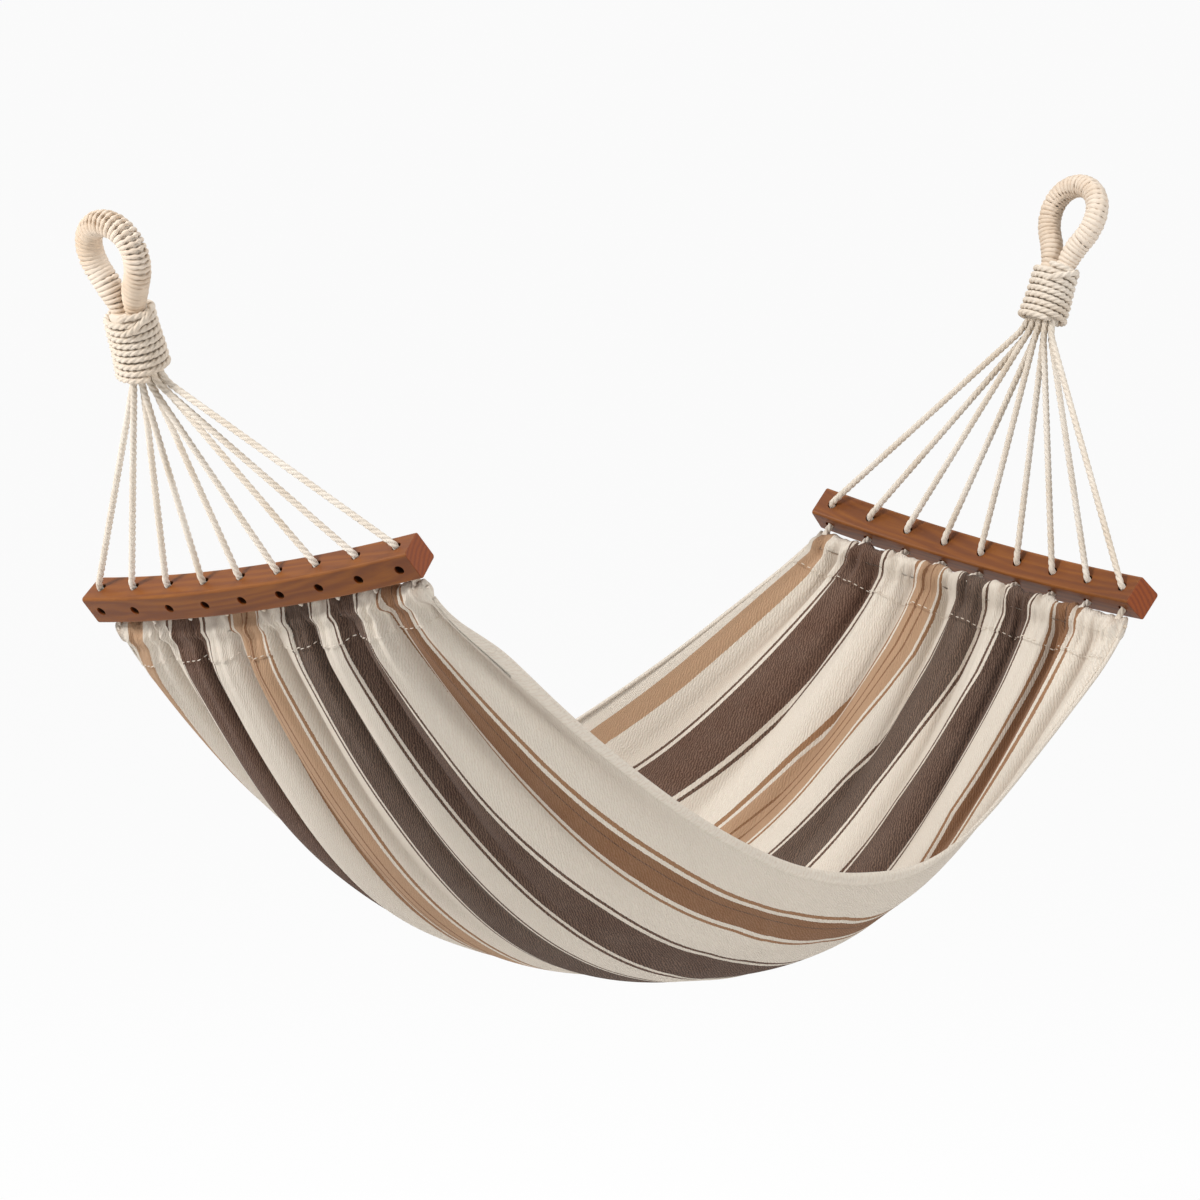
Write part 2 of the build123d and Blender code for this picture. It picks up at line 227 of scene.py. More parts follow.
def laidRope(name, path, reference, plan, roundEnds=True):
    # A profile of touching round strands carried along the path, turned once per lay length.
    # Columns follow the strands. A strand's outline seen from the rope's middle is
    # d cos(a) + sqrt(r^2 - d^2 sin^2(a)), with a floor where two strands meet.
    radius, lay, strands, columns = plan["radius"], plan["lay"], plan["strands"], plan["columns"]
    run = arcLength(path)
    around = np.arange(columns) / columns * 2 * math.pi
    wedge = math.pi / strands
    local = (around + wedge) % (2 * wedge) - wedge
    share = math.sin(wedge) / (1 + math.sin(wedge))
    middle = 1 - share
    outline = middle * np.cos(local) + np.sqrt(np.maximum(share**2 - (middle * np.sin(local))**2, 0))
    outline = radius * np.hypot(outline, plan["floor"]) / math.hypot(1, plan["floor"])
    turn = around[None, :] + (2 * math.pi * run / lay)[:, None]
    size = np.ones(len(run))
    if roundEnds:
        near = np.minimum(run, run[-1] - run) / radius
        size = np.sqrt(np.clip(1 - (1 - np.clip(near, 0.02, 1))**2, 0.03, 1))
    reach = outline[None, :] * size[:, None]
    _, side, other = frameAlong(path, reference)
    points = ringPoints(path, side, other, turn, reach)
    return gridMesh(name, points, ringUv(run, columns), closed=True, capped=True)


# The two ends are set out from the same sizes as the solid model.

barPlan = {"length": 700, "side": 52, "bow": 25, "pitch": 39.5, "span": 1713, "drop": 80,
           "hole": 16, "spacing": 80.5, "count": 9}
endPlans = {
    "head": {"facing": -1, "roll": -9.5, "reach": 380, "tilt": 13.5, "shift": 0, "turns": 9, "bundle": 31,
             "eyeHeight": 139, "eyeRadius": 21},
    "foot": {"facing": 1, "roll": 8.5, "reach": 400, "tilt": 32.5, "shift": 12, "turns": 8, "bundle": 28,
             "eyeHeight": 139, "eyeRadius": 19},
}
clewPlan = {"eyeRise": 68, "eyeLean": 2.5, "whipping": 10.5, "whippingGap": 0.7, "inHole": 13,
            "inWhipping": 24, "layer": 6.2, "spread": 1.04}
ropePlan = {"radius": 5.5, "lay": 34, "strands": 3, "columns": 24, "floor": 0.95, "step": 1.9}
headerPlan = {"radius": 3.2, "lay": 30, "strands": 3, "columns": 18, "floor": 0.62, "step": 2.4,
              "drop": 24, "half": 341}
loopPlan = {"inHole": 14, "ring": 8.7, "wrap": 0.93, "creep": 1.5, "count": 40}

bowRadius = barPlan["length"]**2 / (8 * barPlan["bow"]) + barPlan["bow"] / 2
holeOffsets = barPlan["spacing"] * (np.arange(barPlan["count"]) - (barPlan["count"] - 1) / 2)
holeAngles = holeOffsets / bowRadius
bowDepth = bowRadius * (1 - math.cos(holeAngles[0]))
ropeSeat = barPlan["hole"] / 2 - ropePlan["radius"] - 0.6


def rotateX(vector, degrees):
    c, s = math.cos(math.radians(degrees)), math.sin(math.radians(degrees))
    x, y, z = vector
    return np.array([x, c * y - s * z, s * y + c * z])


class End:
    # directions of one end: along the bar, outward across it, up from its clew face, and up the eye
    def __init__(self, name, plan):
        self.name, self.plan, self.facing = name, plan, plan["facing"]
        lean = math.radians(barPlan["pitch"])
        self.along = rotateX((0, -self.facing, 0), plan["roll"])
        self.up = rotateX((self.facing * math.sin(lean), 0, math.cos(lean)), plan["roll"])
        self.out = np.cross(self.up, self.along)
        rise = math.radians(clewPlan["eyeRise"])
        nearward = -math.sin(math.radians(clewPlan["eyeLean"]))
        self.eyeWay = unit(np.array([self.facing * math.cos(rise), nearward, math.sin(rise)]))
        tilt = math.radians(plan["tilt"])
        self.fan = plan["reach"] * (math.cos(tilt) * self.up - math.sin(tilt) * self.out)
        self.fan = self.fan + plan["shift"] * self.along
        perTurn = clewPlan["whipping"] + clewPlan["whippingGap"]
        self.whippingLength = plan["turns"] * perTurn + clewPlan["whipping"]

    def place(self, middle):
        self.middle = middle
        self.apex = middle + self.fan
        self.eyeFoot = self.apex + self.whippingLength * self.eyeWay
        level = np.array([0, 1, 0])
        self.eyeSide = unit(level - level.dot(self.eyeWay) * self.eyeWay)
        self.eyeOut = np.cross(self.eyeSide, self.eyeWay)
        self.header = self.local(0, -bowDepth / 2, -barPlan["side"] / 2 - headerPlan["drop"])

    def local(self, along, out, up):
        return self.middle + along * self.along + out * self.out + up * self.up

    def aroundEye(self, angle, reach, height):
        # points at an angle and a reach round the whipping's axis, at a height above its foot
        return (self.apex + height[:, None] * self.eyeWay + (reach * np.cos(angle))[:, None] * self.eyeSide
                + (reach * np.sin(angle))[:, None] * self.eyeOut)

    def hole(self, angle, out, up):
        # a point beside one hole of the bowed bar, seated along it
        reach = bowRadius + out
        along = reach * math.sin(angle) + ropeSeat * math.cos(angle)
        outward = reach * math.cos(angle) - bowRadius - ropeSeat * math.sin(angle)
        return self.local(along, outward, up)


head, foot = End("head", endPlans["head"]), End("foot", endPlans["foot"])
crown = endPlans["head"]["eyeHeight"] - endPlans["head"]["eyeRadius"]
head.place(-(head.whippingLength + crown) * head.eyeWay - head.fan)
foot.place(head.middle + np.array([barPlan["span"], 0, -barPlan["drop"]]))
ends = (head, foot)


def tone(red, green, blue):
    # a screen colour, 0 to 255, as linear light
    values = np.array([red, green, blue]) / 255
    linear = np.where(values <= 0.04045, values / 12.92, ((values + 0.055) / 1.055)**2.4)
    return (*linear.tolist(), 1)


class Nodes:
    # short way to place and link shader nodes
    def __init__(self, tree):
        self.tree = tree

    def add(self, kind, inputs=None, **settings):
        node = self.tree.nodes.new("ShaderNode" + kind)
        for key, value in settings.items():
            setattr(node, key, value)
        for key, value in (inputs or {}).items():
            socket = node.inputs[key]
            if isinstance(value, bpy.types.NodeSocket):
                self.tree.links.new(value, socket)
            else:
                socket.default_value = value
        return node

    def link(self, source, target):
        self.tree.links.new(source, target)

    def math(self, operation, a, b=0.0, c=0.0):
        return self.add("Math", {0: a, 1: b, 2: c}, operation=operation).outputs[0]

    def mix(self, factor, a, b, blend="MIX"):
        node = self.add("Mix", {0: factor, 6: a, 7: b}, data_type="RGBA", blend_type=blend)
        return node.outputs[2]

    def ramp(self, factor, stops, interpolation="LINEAR"):
        node = self.add("ValToRGB", {0: factor})
        band = node.color_ramp
        band.interpolation = interpolation
        while len(band.elements) < len(stops):
            band.elements.new(0.5)
        for element, (position, colour) in zip(band.elements, stops):
            element.position, element.color = position, colour
        return node.outputs[0]

    def ease(self, value, low, high):
        return self.add("MapRange", {0: value, 1: low, 2: high}, interpolation_type="SMOOTHSTEP").outputs[0]

    def noise(self, vector, scale, detail=2.0, rough=0.5):
        return self.add("TexNoise", {"Vector": vector, "Scale": scale, "Detail": detail,
                                     "Roughness": rough}).outputs[0]


def newGroup(name, inputs, outputs):
    group = bpy.data.node_groups.new(name, "ShaderNodeTree")
    for label, kind, value in inputs:
        socket = group.interface.new_socket(name=label, in_out="INPUT", socket_type="NodeSocket" + kind)
        if value is not None:
            socket.default_value = value
    for label, kind in outputs:
        group.interface.new_socket(name=label, in_out="OUTPUT", socket_type="NodeSocket" + kind)
    return group, Nodes(group), group.nodes.new("NodeGroupInput"), group.nodes.new("NodeGroupOutput")


def newMaterial(name, roughness, sheen=0.0, specular=0.5):
    material = bpy.data.materials.new(name)
    material.use_nodes = True
    nodes = Nodes(material.node_tree)
    shader = material.node_tree.nodes["Principled BSDF"]
    shader.inputs["Roughness"].default_value = roughness
    shader.inputs["Sheen Weight"].default_value = sheen
    shader.inputs["Sheen Roughness"].default_value = 0.5
    shader.inputs["Specular IOR Level"].default_value = specular
    return material, nodes, shader


def useGroup(nodes, group, inputs):
    node = nodes.tree.nodes.new("ShaderNodeGroup")
    node.node_tree = group
    for key, value in inputs.items():
        if isinstance(value, bpy.types.NodeSocket):
            nodes.link(value, node.inputs[key])
        else:
            node.inputs[key].default_value = value
    return node


def fibreGroup():
    # fine yarns that lie nearly along the rope, with painted shade between them, and soft soiling,
    # from the rope's own uv map: u once round along the strands, v the distance in metres
    group, nodes, given, result = newGroup(
        "fibres", [("Lay", "Float", 0.034), ("Yarns", "Float", 26.0)],
        [("Height", "Float"), ("Tint", "Float"), ("Soil", "Float")])
    uv = nodes.add("UVMap", uv_map="flat").outputs[0]
    split = nodes.add("SeparateXYZ", {0: uv})
    turns = nodes.math("DIVIDE", split.outputs[1], given.outputs["Lay"])
    lengthwise = nodes.math("ADD", split.outputs[0], nodes.math("MULTIPLY", turns, 0.55))
    position = nodes.add("TexCoord").outputs["Object"]
    wander = nodes.noise(position, 420.0, 3.0)
    phase = nodes.math("MULTIPLY_ADD", lengthwise, given.outputs["Yarns"],
                       nodes.math("MULTIPLY", wander, 1.1))
    yarn = nodes.math("ABSOLUTE", nodes.math("SINE", nodes.math("MULTIPLY", phase, math.pi)))
    fuzz = nodes.noise(position, 900.0, 2.0)
    height = nodes.math("MULTIPLY_ADD", fuzz, 0.3, yarn)
    soil = nodes.noise(position, 9.0, 4.0, 0.6)
    nodes.link(height, result.inputs["Height"])
    nodes.link(yarn, result.inputs["Tint"])
    nodes.link(soil, result.inputs["Soil"])
    return group


def ropeMaterial(name, fibres, light, shade, lay, yarns, bump):
    material, nodes, shader = newMaterial(name, 0.95, sheen=0.08, specular=0.15)
    made = useGroup(nodes, fibres, {"Lay": lay, "Yarns": yarns})
    dusty = nodes.ramp(made.outputs["Soil"], [(0.35, shade), (0.62, light)])
    # painted shade: the grooves between the yarns are mixed towards the shade colour
    colour = nodes.mix(nodes.math("MULTIPLY_ADD", made.outputs["Tint"], -0.22, 0.22), dusty, shade)
    nodes.link(colour, shader.inputs["Base Color"])
    relief = nodes.add("Bump", {"Strength": 0.5, "Distance": bump, "Height": made.outputs["Height"]})
    nodes.link(relief.outputs[0], shader.inputs["Normal"])
    return material


fibres = fibreGroup()
ropeFinish = ropeMaterial("cotton rope", fibres, tone(226, 217, 205), tone(210, 196, 178),
                          0.034, 12.0, 0.0001)
whippingFinish = ropeMaterial("whipping cord", fibres, tone(225, 214, 200), tone(209, 193, 174),
                              0.033, 24.0, 0.00015)
serviceFinish = ropeMaterial("served cord", fibres, tone(226, 212, 196), tone(206, 184, 160),
                             0.012, 12.0, 0.00015)


def clewRoute(end, index):
    # out of the hole, up to the whipping, then along it, packed in two layers
    angle = holeAngles[index]
    half = barPlan["side"] / 2
    stand = half + ropePlan["radius"]
    low = end.hole(angle, 0, stand) if end is head else end.hole(angle, -stand, 0)
    deep = half - clewPlan["inHole"]
    inside = end.hole(angle, 0, deep) if end is head else end.hole(angle, -deep, 0)
    width = (end.plan["bundle"] - ropePlan["radius"]) * clewPlan["spread"]
    across = unit(end.along - end.along.dot(end.eyeWay) * end.eyeWay)
    depth = np.cross(across, end.eyeWay)
    layer = clewPlan["layer"] if index % 2 == 0 else -clewPlan["layer"]
    share = (index - 4) / 4
    entry = end.apex + share * width * across + layer * math.sqrt(1 - 0.45 * share**2) * depth
    inner = entry + clewPlan["inWhipping"] * end.eyeWay
    below = entry - 8 * end.eyeWay
    way = unit(below - low)
    mouth = low - 5 * way
    return np.array([inside, mouth, low + 14 * way, (low + below) / 2, below - 46 * way, below, inner]), low


def addClewCords(end):
    reference = end.out + 0.3 * end.along
    for index in range(barPlan["count"]):
        number = index + 1 if end is head else barPlan["count"] - index
        controls, low = clewRoute(end, index)
        line = smoothRoute(controls)
        length = arcLength(line)[-1]
        path = resample(line, stationsFor(length, ropePlan["step"], ropePlan["radius"]))
        node = f"{end.name}_clew_cord_{number}"
        mesh = laidRope(node, path, reference, ropePlan)
        piece = addPiece(mesh, f"{end.name}_clew_rope_{number}", f"{end.name}_clew",
                         ropeFinish, [node])


def loopRoute(end, angle):
    # through the bar, then round the header cord in a ring that closes on itself
    half = barPlan["side"] / 2
    bedMouth = end.hole(angle, 0, -half)
    centre = end.header + (bedMouth - end.header).dot(end.along) * end.along
    toMouth = bedMouth - centre
    distance = np.linalg.norm(toMouth)
    upward = toMouth / distance
    sideways = np.cross(end.along, upward) * end.facing
    ring = loopPlan["ring"]
    touch = math.acos(ring / distance)
    share = np.linspace(0, 1, loopPlan["count"])
    sweep = touch + share * 2 * math.pi * loopPlan["wrap"]
    circle = centre + ring * (np.cos(sweep)[:, None] * upward + np.sin(sweep)[:, None] * sideways)
    circle = circle + share[:, None]**2 * loopPlan["creep"] * end.along
    depth = half - loopPlan["inHole"]
    if end is head:
        start = [end.hole(angle, 0, depth), bedMouth]
    else:
        start = [end.hole(angle, -depth, 0), end.hole(angle, -7, 0), end.hole(angle, -2, -2),
                 end.hole(angle, 0, -7), bedMouth]
    return np.vstack([start, circle])


def addBedLoops(end):
    for index in range(barPlan["count"]):
        number = index + 1 if end is head else barPlan["count"] - index
        line = loopRoute(end, holeAngles[index])
        path = resample(line, stationsFor(arcLength(line)[-1], ropePlan["step"], ropePlan["radius"]))
        node = f"{end.name}_bed_loop_{number}"
        mesh = laidRope(node, path, end.along, ropePlan)
        addPiece(mesh, f"{end.name}_loop_rope_{number}", f"{end.name}_bar",
                 ropeFinish, [node])


def addHeaderCord(end):
    half = headerPlan["half"]
    line = np.array([end.header - half * end.along, end.header + half * end.along])
    path = resample(line, stationsFor(2 * half, headerPlan["step"], headerPlan["radius"]))
    mesh = laidRope("header", path, end.up, headerPlan)
    addPiece(mesh, f"{end.name}_header_rope", "bed", ropeFinish, [f"{end.name}_header_cord"])


for end in ends:
    addClewCords(end)
    addBedLoops(end)
    addHeaderCord(end)
print("ropes laid")


windingPlan = {"radius": 5.25, "lay": 33, "strands": 3, "columns": 20, "floor": 0.7, "perTurn": 96}


def addWhipping(end):
    # A helix round the bundle: radius b, height rising one cord width a turn. The last part
    # climbs over the turn below it and tucks in.
    turns, radius = end.plan["turns"], end.plan["bundle"] + 0.3 + windingPlan["radius"]
    rise = clewPlan["whipping"] + clewPlan["whippingGap"]
    turn = np.linspace(-0.06, turns + 0.06, int(windingPlan["perTurn"] * turns))
    wobble = 0.35 * np.sin(5.1 * turn) + 0.25 * np.sin(2 * math.pi * turn * 2.37)
    height = windingPlan["radius"] + rise * turn + wobble
    reach = radius + 0.35 * np.sin(7.3 * turn) + 3.2 * (1 - turn / turns)**2
    start = 0.65
    angle = 2 * math.pi * (turn + start)
    path = end.aroundEye(angle, reach, height)
    mesh = laidRope("winding", path, np.broadcast_to(end.eyeWay, path.shape), windingPlan)
    addPiece(mesh, f"{end.name}_winding", f"{end.name}_clew", whippingFinish,
             [f"{end.name}_whipping"])
    # a strand that crosses the top turns and tucks under the third
    cross = np.linspace(0, 1, 60)
    angle = 2 * math.pi * (0.42 + 0.30 * cross)
    height = end.whippingLength - 4 - rise * 2.3 * smooth(0, 1, cross)
    reach = radius + 7.5 * np.sin(math.pi * np.clip(cross * 1.02, 0, 1))**0.5 - 3
    path = end.aroundEye(angle, reach, height)
    mesh = laidRope("crossing", path, np.broadcast_to(end.eyeWay, path.shape), windingPlan)
    addPiece(mesh, f"{end.name}_winding_tail", f"{end.name}_clew", whippingFinish)


def addBundle(end):
    # a round bundle whose outline has one swell for each gathered rope
    count, rows = 90, 16
    around = np.arange(count) / count * 2 * math.pi
    reach = end.plan["bundle"] * (0.93 + 0.06 * np.abs(np.cos(4.5 * around)))
    height = np.linspace(5, end.whippingLength - 9, rows)
    points = (end.apex + height[:, None, None] * end.eyeWay
              + (reach * np.cos(around))[None, :, None] * end.eyeSide
              + (reach * np.sin(around))[None, :, None] * end.eyeOut)
    mesh = gridMesh("bundle", points, ringUv(height, count, 4), closed=True, capped=True)
    addPiece(mesh, f"{end.name}_bundle", f"{end.name}_clew", ropeFinish,
             [f"{end.name}_rope_bundle"])


for end in ends:
    addWhipping(end)
    addBundle(end)
print("whippings wound")


eyePlan = {"crownRadius": 48, "turns": 49, "perTurn": 44, "columns": 12, "thick": 3.5, "tuck": 16,
           "footRadius": 15.4, "neck": 34, "seam": 2.6, "seamHalf": 0.34, "seamRise": 1.8, "seamShift": 0.5}


def eyeLine(end):
    # Teardrop: each leg is two equal arcs and the crown a half circle. An arc is given by its
    # start, its first direction and its end; its centre is square to that direction.
    footX = end.plan["eyeRadius"] + 0.3
    shoulder = end.plan["eyeHeight"] - eyePlan["crownRadius"]
    bend = np.array([(footX + eyePlan["crownRadius"]) / 2, shoulder / 2])
    start, top = np.array([footX, 0.3]), np.array([eyePlan["crownRadius"], shoulder])

    def arc(first, way, last, count):
        chord = last - first
        normal = np.array([-way[1], way[0]])
        radius = chord.dot(chord) / (2 * chord.dot(normal))
        centre = first + radius * normal
        a = math.atan2(*(first - centre)[::-1])
        b = math.atan2(*(last - centre)[::-1])
        span = (b - a + math.pi) % (2 * math.pi) - math.pi
        turn = a + span * np.linspace(0, 1, count)
        line = centre + abs(radius) * np.column_stack([np.cos(turn), np.sin(turn)])
        leave = np.array([-math.sin(b), math.cos(b)]) * np.sign(span)
        return line, leave

    lower, way = arc(start, np.array([0.0, 1.0]), bend, 60)
    upper, _ = arc(bend, way, top, 60)
    crownTurn = np.linspace(0, math.pi, 160)
    crownLine = np.array([0, shoulder]) + eyePlan["crownRadius"] * np.column_stack(
        [np.cos(crownTurn), np.sin(crownTurn)])
    leg = np.vstack([lower[:-1], upper[:-1]])
    tuck = np.column_stack([np.full(12, footX), np.linspace(-eyePlan["tuck"], -1, 12)])
    leg = np.vstack([tuck, leg])
    flat = np.vstack([leg, crownLine, leg[::-1] * [-1, 1]])
    # both feet draw in towards each other where the whipping holds them
    squeeze = 1 - smooth(-eyePlan["tuck"], eyePlan["neck"], flat[:, 1])
    inset = flat[:, 0] - np.sign(flat[:, 0]) * squeeze * (footX - eyePlan["footRadius"] - 0.2)
    line = end.eyeFoot + inset[:, None] * end.eyeSide + flat[:, 1:] * end.eyeWay
    tube = end.plan["eyeRadius"] - squeeze * (end.plan["eyeRadius"] - eyePlan["footRadius"])
    return line, tube


def addEye(end):
    line, tubes = eyeLine(end)
    length = arcLength(line)[-1]
    turns = eyePlan["turns"]
    stations = np.linspace(0, length, turns * eyePlan["perTurn"])
    share = stations / length
    path = resample(line, stations)
    tube = np.interp(stations, arcLength(line), tubes)
    ahead = unit(np.gradient(path, axis=0))
    outward = np.cross(ahead, end.eyeOut)
    outward = outward * np.sign((outward * (path - end.eyeFoot - 60 * end.eyeWay)).sum(-1).mean())
    binormal = np.broadcast_to(end.eyeOut, path.shape)
    heading = np.arctan2((ahead * end.eyeWay).sum(-1), (ahead * end.eyeSide).sum(-1))
    bending = np.gradient(np.unwrap(heading), stations)
    angle = 2 * math.pi * turns * share
    pitch = length / turns
    # the hitch seam down the near leg: at one angle each turn lifts and crosses its neighbour
    off = (angle - eyePlan["seam"] + math.pi) % (2 * math.pi) - math.pi
    bump = np.exp(-(off / eyePlan["seamHalf"])**2) * smooth(0.58, 0.75, share)
    jitter = 0.35 * np.sin(angle * 0.37) + 0.3 * np.sin(share * 91)
    ride = tube - eyePlan["thick"] + eyePlan["seamRise"] * bump + 0.25 * np.sin(share * 173)
    shift = pitch * eyePlan["seamShift"] * bump * np.sign(off) * np.minimum(np.abs(off) * 3, 1) + jitter
    spoke = np.cos(angle)[:, None] * outward + np.sin(angle)[:, None] * binormal
    strand = path + ride[:, None] * spoke + shift[:, None] * ahead
    stretch = 1 + bending * np.sign(bending[len(bending) // 2]) * ride * np.cos(angle)
    columns = eyePlan["columns"]
    around = np.arange(columns) / columns * 2 * math.pi
    halfWidth = pitch * 0.56 * np.clip(stretch, 0.45, 1.5)
    _, sideways, raised = frameAlong(strand, spoke)
    sideways = np.where((sideways * ahead).sum(-1)[:, None] < 0, -sideways, sideways)
    profileAcross = np.cos(around)
    points = (strand[:, None] + (halfWidth[:, None] * profileAcross)[..., None] * sideways[:, None]
              + (eyePlan["thick"] * np.sin(around))[None, :, None] * spoke[:, None])
    mesh = gridMesh("served", points, ringUv(arcLength(strand), columns), closed=True, capped=True)
    addPiece(mesh, f"{end.name}_served_cord", f"{end.name}_clew", serviceFinish,
             [f"{end.name}_eye_service"])
    # the rope bundle under it, in swells
    rows, count = 150, 28
    stations = np.linspace(0, length, rows)
    path = resample(line, stations)
    around = np.arange(count) / count * 2 * math.pi
    tube = np.interp(stations, arcLength(line), tubes)[:, None]
    reach = (tube - 5.6) * (0.95 + 0.05 * np.cos(7 * around[None, :] + stations[:, None] * 0.02))
    _, side, other = frameAlong(path, end.eyeOut)
    points = ringPoints(path, side, other, around[None, :], reach)
    mesh = gridMesh("eye rope", points, ringUv(stations, count, 3), closed=True, capped=True)
    addPiece(mesh, f"{end.name}_eye_rope", f"{end.name}_clew", ropeFinish,
             [f"{end.name}_eye_core"])


for end in ends:
    addEye(end)
print("eyes served")


# Along the bed a place runs from -1 at the head header cord to 1 at the foot's, and across it a
# side runs from -1 at the near edge to 1 at the far one.
bedPlan = {
    "halfWidth": 335, "nearSwell": 20, "footSwell": 16, "farSwell": 120, "farLift": 13,
    "sag": 606, "sagPower": 2.2, "rise": 210, "risePower": 2.7, "fadePower": 3.1,
    "midRoll": 4.5, "rollSwing": 11,                  # degrees
    "foldDepth": 33, "foldMin": 2, "foldOnset": 0.07, "foldReach": 0.72, "foldFade": 1.5,
    "thick": 2.4, "nearRoll": 12.0, "farRoll": 3.4, "columns": 190, "rollColumns": 14,
    "hem": 70, "start": 22, "gather": 3.6, "gatherReach": 150,
    "endRate": 1560,                                  # millimetres for one unit of place near the hems
}
foldLoops = holeOffsets / bedPlan["halfWidth"]


def bedLine(place):
    # straight between the two header cords, less a sag of 1 - |place|^power
    place = np.asarray(place)[..., None]
    drop = bedPlan["sag"] * (1 - np.abs(place)**bedPlan["sagPower"])
    return head.header + (foot.header - head.header) * (place + 1) / 2 - drop * np.array([0, 0, 1.0])


def bedFrame(place):
    # the lowest line's direction, the way across, turned by a roll that changes along, and up
    place = np.asarray(place, float)
    low, high = np.maximum(-1, place - 0.002), np.minimum(1, place + 0.002)
    way = unit(bedLine(high) - bedLine(low))
    share, hump = (place + 1) / 2, 1 - place**2
    roll = (endPlans["head"]["roll"] * (1 - share) + endPlans["foot"]["roll"] * share
            + (bedPlan["midRoll"] + bedPlan["rollSwing"] * place) * hump)
    roll = np.radians(roll)
    across = np.stack([0 * roll, np.cos(roll), np.sin(roll)], -1)
    return across, unit(np.cross(way, across)), way


def foldHeight(place, side):
    # Down between the loops and level under them, fading along the bed. At the head a bay is
    # sin(pi t)^0.72, round below and creased at its loops, and at the foot 1 - |cos(pi t)|^0.8,
    # creased in its middle. Finer gathers lie close to the hem.
    place, side = np.broadcast_arrays(place, side)
    away = 1 - np.abs(place)
    growth = np.sin(math.pi / 2 * np.minimum(1, away / bedPlan["foldOnset"]))
    fade = np.maximum(0, 1 - away / bedPlan["foldReach"])**bedPlan["foldFade"]
    depth = bedPlan["foldMin"] + bedPlan["foldDepth"] * growth * fade
    stops = np.concatenate([[-1.06], foldLoops, [1.06]])
    bay = np.clip(np.searchsorted(stops, side) - 1, 0, len(stops) - 2)
    width = stops[bay + 1] - stops[bay]
    t = np.clip((side - stops[bay]) / width, 0, 1)
    # each bulge leans a little and one in two is deeper
    t = t**(1 + 0.22 * np.sin(2.3 * bay + 1))
    uneven = 1 + 0.2 * np.sin(4.1 * bay + 0.7)
    under = np.sin(math.pi * t)**0.72
    over = 1 - np.abs(np.cos(math.pi * t))**0.8
    narrow = np.minimum(1, width * bedPlan["halfWidth"] / barPlan["spacing"])
    trough = uneven * np.where(place < 0, under, over) * narrow
    distance = away * bedPlan["endRate"]
    wave = (np.sin(side * 71 + 2.1 * np.sin(side * 9) + 0.006 * distance)
            + 0.7 * np.sin(side * 118 + 3 * np.sin(side * 5.3) - 0.009 * distance))
    gather = bedPlan["gather"] * np.exp(-distance / bedPlan["gatherReach"]) * wave
    ripple = 2.2 * np.sin(side * 23 + 2.2 * np.sin(place * 4.1)) * np.sin(place * 5 + side * 3)
    return -depth * trough + gather + ripple * smooth(0.05, 0.3, away)


def creaseShade(place, side, outer):
    # painted shade for a point that lies deep in a fold's crease: beside the loops outside, between them
    # inside, and at the head more outside than inside
    place, side = np.broadcast_arrays(np.asarray(place, float), np.asarray(side, float))
    away = 1 - np.abs(place)
    gap = np.min(np.abs(side[..., None] - foldLoops), axis=-1) * bedPlan["halfWidth"]
    gap = gap + 3 * np.sin(side * 19) * smooth(0, 0.2, away)
    width = 6 + 26 * np.minimum(away, 0.5)
    atLoop = np.exp(-(gap / width)**2)
    between = np.exp(-((gap - 40) / width)**2)
    strength = np.maximum(0, 1 - away / 0.75)**1.3 * smooth(-0.02, 0.04, away)
    strength = strength * (0.75 + 0.25 * np.sin(side * 31 + 1))
    shade = np.where(place < 0, atLoop if outer else 0.4 * between, 0.5 * atLoop if outer else between)
    return shade * strength


def bedPoint(place, side, lift=0.0):
    place, side, lift = np.broadcast_arrays(np.asarray(place, float), np.asarray(side, float), lift)
    across, up, _ = bedFrame(place)
    near = bedPlan["nearSwell"] + bedPlan["footSwell"] * smooth(0, 0.5, place)
    swell = np.where(side < 0, near, bedPlan["farSwell"]) * (1 - place**2)
    rise = bedPlan["rise"] * (1 - np.abs(place)**bedPlan["fadePower"]) * np.abs(side)**bedPlan["risePower"]
    rise = rise + bedPlan["farLift"] * smooth(0.55, 1, side) * (1 - np.abs(place)**5)
    height = rise + lift
    reach = side * (bedPlan["halfWidth"] + swell)
    return bedLine(place) + reach[..., None] * across + height[..., None] * up


# Where six stripes lie across the cloth, in thousandths from the near edge, at places along it.
stripeKeys = {
    "places": [-1.0, -0.7, -0.4, -0.1, 0.2, 0.5, 0.7, 0.9, 1.0],
    "flat": [0, 113, 264, 422, 587, 781, 928, 1000],
    "across": [
        [0, 102, 258, 397, 570, 757, 930, 1000],
        [0, 97, 247, 400, 571, 775, 938, 1000],
        [0, 85, 227, 417, 582, 780, 942, 1000],
        [0, 78, 220, 430, 600, 800, 948, 1000],
        [0, 90, 260, 470, 640, 830, 955, 1000],
        [0, 150, 380, 575, 700, 872, 968, 1000],
        [0, 190, 372, 540, 665, 848, 967, 1000],
        [0, 185, 320, 487, 612, 826, 968, 1000],
        [0, 185, 315, 480, 608, 822, 968, 1000],
    ],
}


def flatAcross(place, side):
    # the cloth's own distance from its near edge, in metres, between the keyed stripes
    place, side = np.broadcast_arrays(np.asarray(place, float), np.asarray(side, float))
    table = np.array(stripeKeys["across"], float)
    flat = np.array(stripeKeys["flat"], float)
    shape, place, side = place.shape, place.ravel(), side.ravel()
    keys = np.stack([np.interp(place, stripeKeys["places"], column) for column in table.T], -1)
    across = np.clip((side + 1) / 2, 0, 1) * 1000
    slot = np.clip((across[:, None] >= keys).sum(1) - 1, 0, len(flat) - 2)
    pick = np.arange(len(across))
    low, high = keys[pick, slot], keys[pick, slot + 1]
    value = flat[slot] + (flat[slot + 1] - flat[slot]) * (across - low) / (high - low)
    return (value * mm).reshape(shape)


